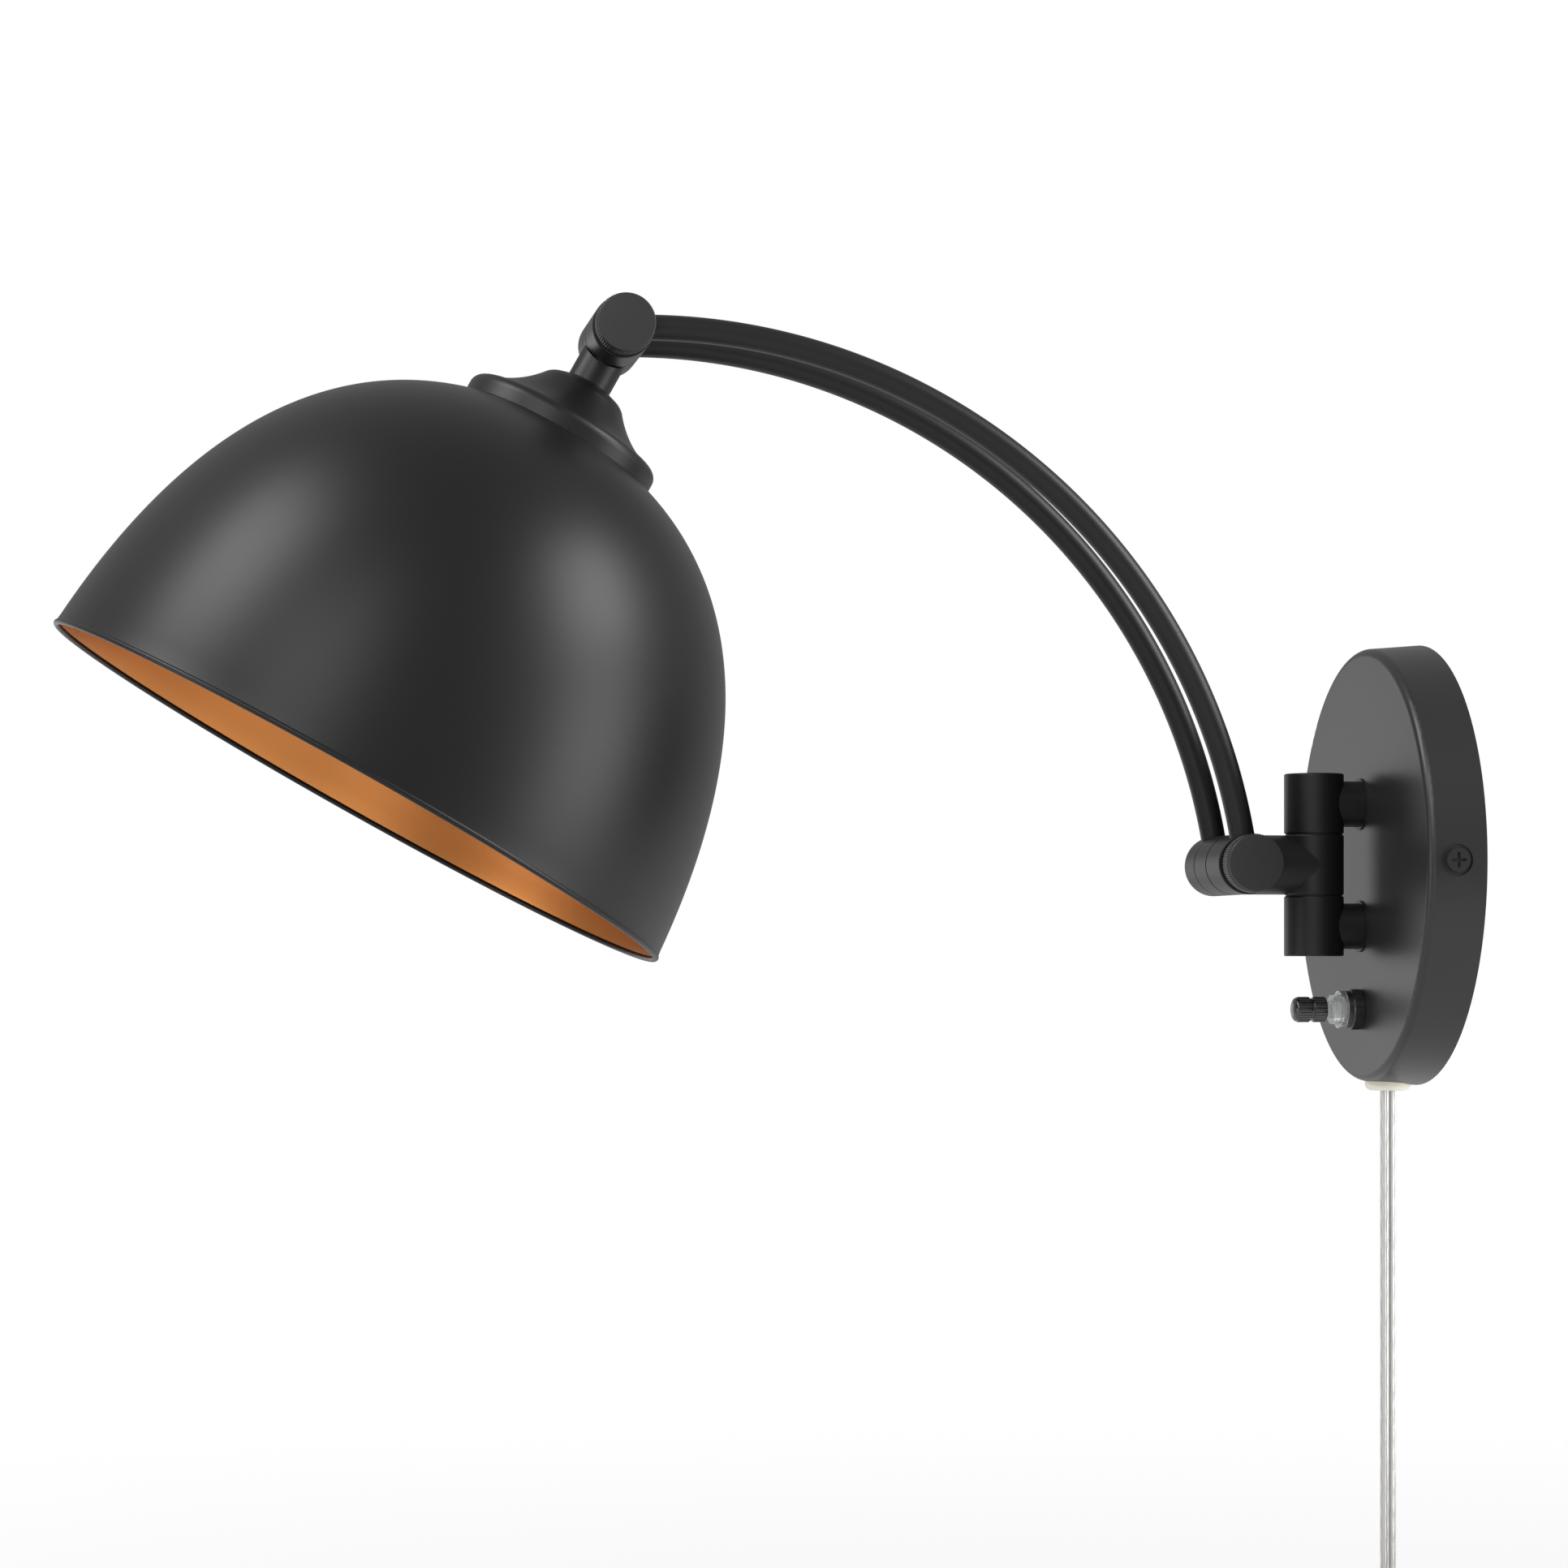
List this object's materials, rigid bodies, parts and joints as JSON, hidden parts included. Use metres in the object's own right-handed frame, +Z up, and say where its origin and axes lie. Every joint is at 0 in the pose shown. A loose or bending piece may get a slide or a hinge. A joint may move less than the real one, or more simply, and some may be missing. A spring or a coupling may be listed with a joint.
{
  "type": "swing arm wall sconce",
  "caption": "Plug-in wall lamp: round canopy, swivel hinge, bowed twin-tube arm with clamp knobs, and a domed metal shade that tilts over a screw-base socket.",
  "frame": {"origin": "centre of the canopy's back, on the wall plane", "axes": "+Y into the wall, -Y outwards over the reach, +Z up, +X to the clamp knobs' side"},
  "size_m": [0.2026, 0.4122, 0.5205],
  "materials": {
    "black_powder_coat": "satin black powder coat",
    "black_hardware": "black painted knurled clamp knobs",
    "shade_shell": "satin black outside, brushed copper-coloured inside",
    "zinc_steel": "zinc-plated steel",
    "brass": "plain turned brass",
    "black_phenolic": "moulded black phenolic",
    "black_knob_plastic": "ribbed black plastic",
    "clear_plastic": "clear moulded plastic",
    "ivory_plastic": "ivory nylon",
    "clear_cord": "clear twin cord over silvery strands",
    "wire_insulation": "white wire insulation",
    "connector_plastic": "orange moulded plastic",
    "glide_nylon": "black nylon"
  },
  "bodies": {
    "wall_plate": {"canopy": "black_powder_coat", "canopy_leads": "wire_insulation", "cord": "clear_cord", "cord_bushing": "ivory_plastic", "cord_coil": "clear_cord", "cord_tail": "clear_cord", "cord_tie": "glide_nylon", "ground_screw": "brass", "hinge_pin": "zinc_steel", "knuckle_lower": "black_powder_coat", "knuckle_upper": "black_powder_coat", "lock_washers": "zinc_steel", "mounting_bracket": "zinc_steel", "mounting_nuts": "zinc_steel", "plug": "clear_plastic", "plug_blades": "brass", "side_screws": "black_hardware", "stub_washers": "black_powder_coat", "switch_body": "black_phenolic", "switch_bushing": "clear_plastic", "switch_collar": "clear_plastic", "switch_ring_nut": "black_hardware", "wire_connectors": "connector_plastic"},
    "swivel": {"t_fitting": "black_powder_coat", "swivel_washers": "glide_nylon"},
    "arm": {"lower_barrel_front": "black_powder_coat", "lower_barrel_rear": "black_powder_coat", "upper_barrel_front": "black_powder_coat", "upper_barrel_rear": "black_powder_coat", "tube_front": "black_powder_coat", "tube_rear": "black_powder_coat", "arm_lead": "wire_insulation", "lower_friction_washers": "glide_nylon", "upper_friction_washers": "glide_nylon", "lower_clamp_bolt": "zinc_steel", "upper_clamp_bolt": "zinc_steel"},
    "shade_head": {"shade": "shade_shell", "shade_holder": "black_powder_coat", "shade_stem": "black_powder_coat", "threaded_nipple": "zinc_steel", "crown_washer": "zinc_steel", "crown_nut": "zinc_steel", "socket_cap": "black_phenolic", "socket_body": "black_phenolic", "screw_shell": "brass", "centre_contact": "brass"},
    "lower_knob": {"lower_clamp_knob": "black_hardware"},
    "upper_knob": {"upper_clamp_knob": "black_hardware"},
    "switch_dial": {"switch_knob": "black_knob_plastic", "switch_stem": "clear_plastic"}
  },
  "joints": [
    {"name": "wall_swivel", "type": "hinge", "parent": "wall_plate", "child": "swivel", "pos_m": [0, -0.0319, 0], "axis": [0, 0, 1], "range_deg": [-55, 55]},
    {"name": "arm_lift", "type": "hinge", "parent": "swivel", "child": "arm", "pos_m": [0, -0.057, 0], "axis": [1, 0, 0], "range_deg": [-20, 70]},
    {"name": "shade_tilt", "type": "hinge", "parent": "arm", "child": "shade_head", "pos_m": [0, -0.2468, 0.1573], "axis": [1, 0, 0], "range_deg": [-75, 40]},
    {"name": "lower_knob_turn", "type": "hinge", "parent": "arm", "child": "lower_knob", "pos_m": [0.0211, -0.057, 0], "axis": [1, 0, 0], "continuous": true},
    {"name": "upper_knob_turn", "type": "hinge", "parent": "arm", "child": "upper_knob", "pos_m": [0.0211, -0.2468, 0.1573], "axis": [1, 0, 0], "continuous": true},
    {"name": "switch_turn", "type": "hinge", "parent": "wall_plate", "child": "switch_dial", "pos_m": [0, -0.034, -0.0443], "axis": [0, -1, 0], "continuous": true}
  ]
}
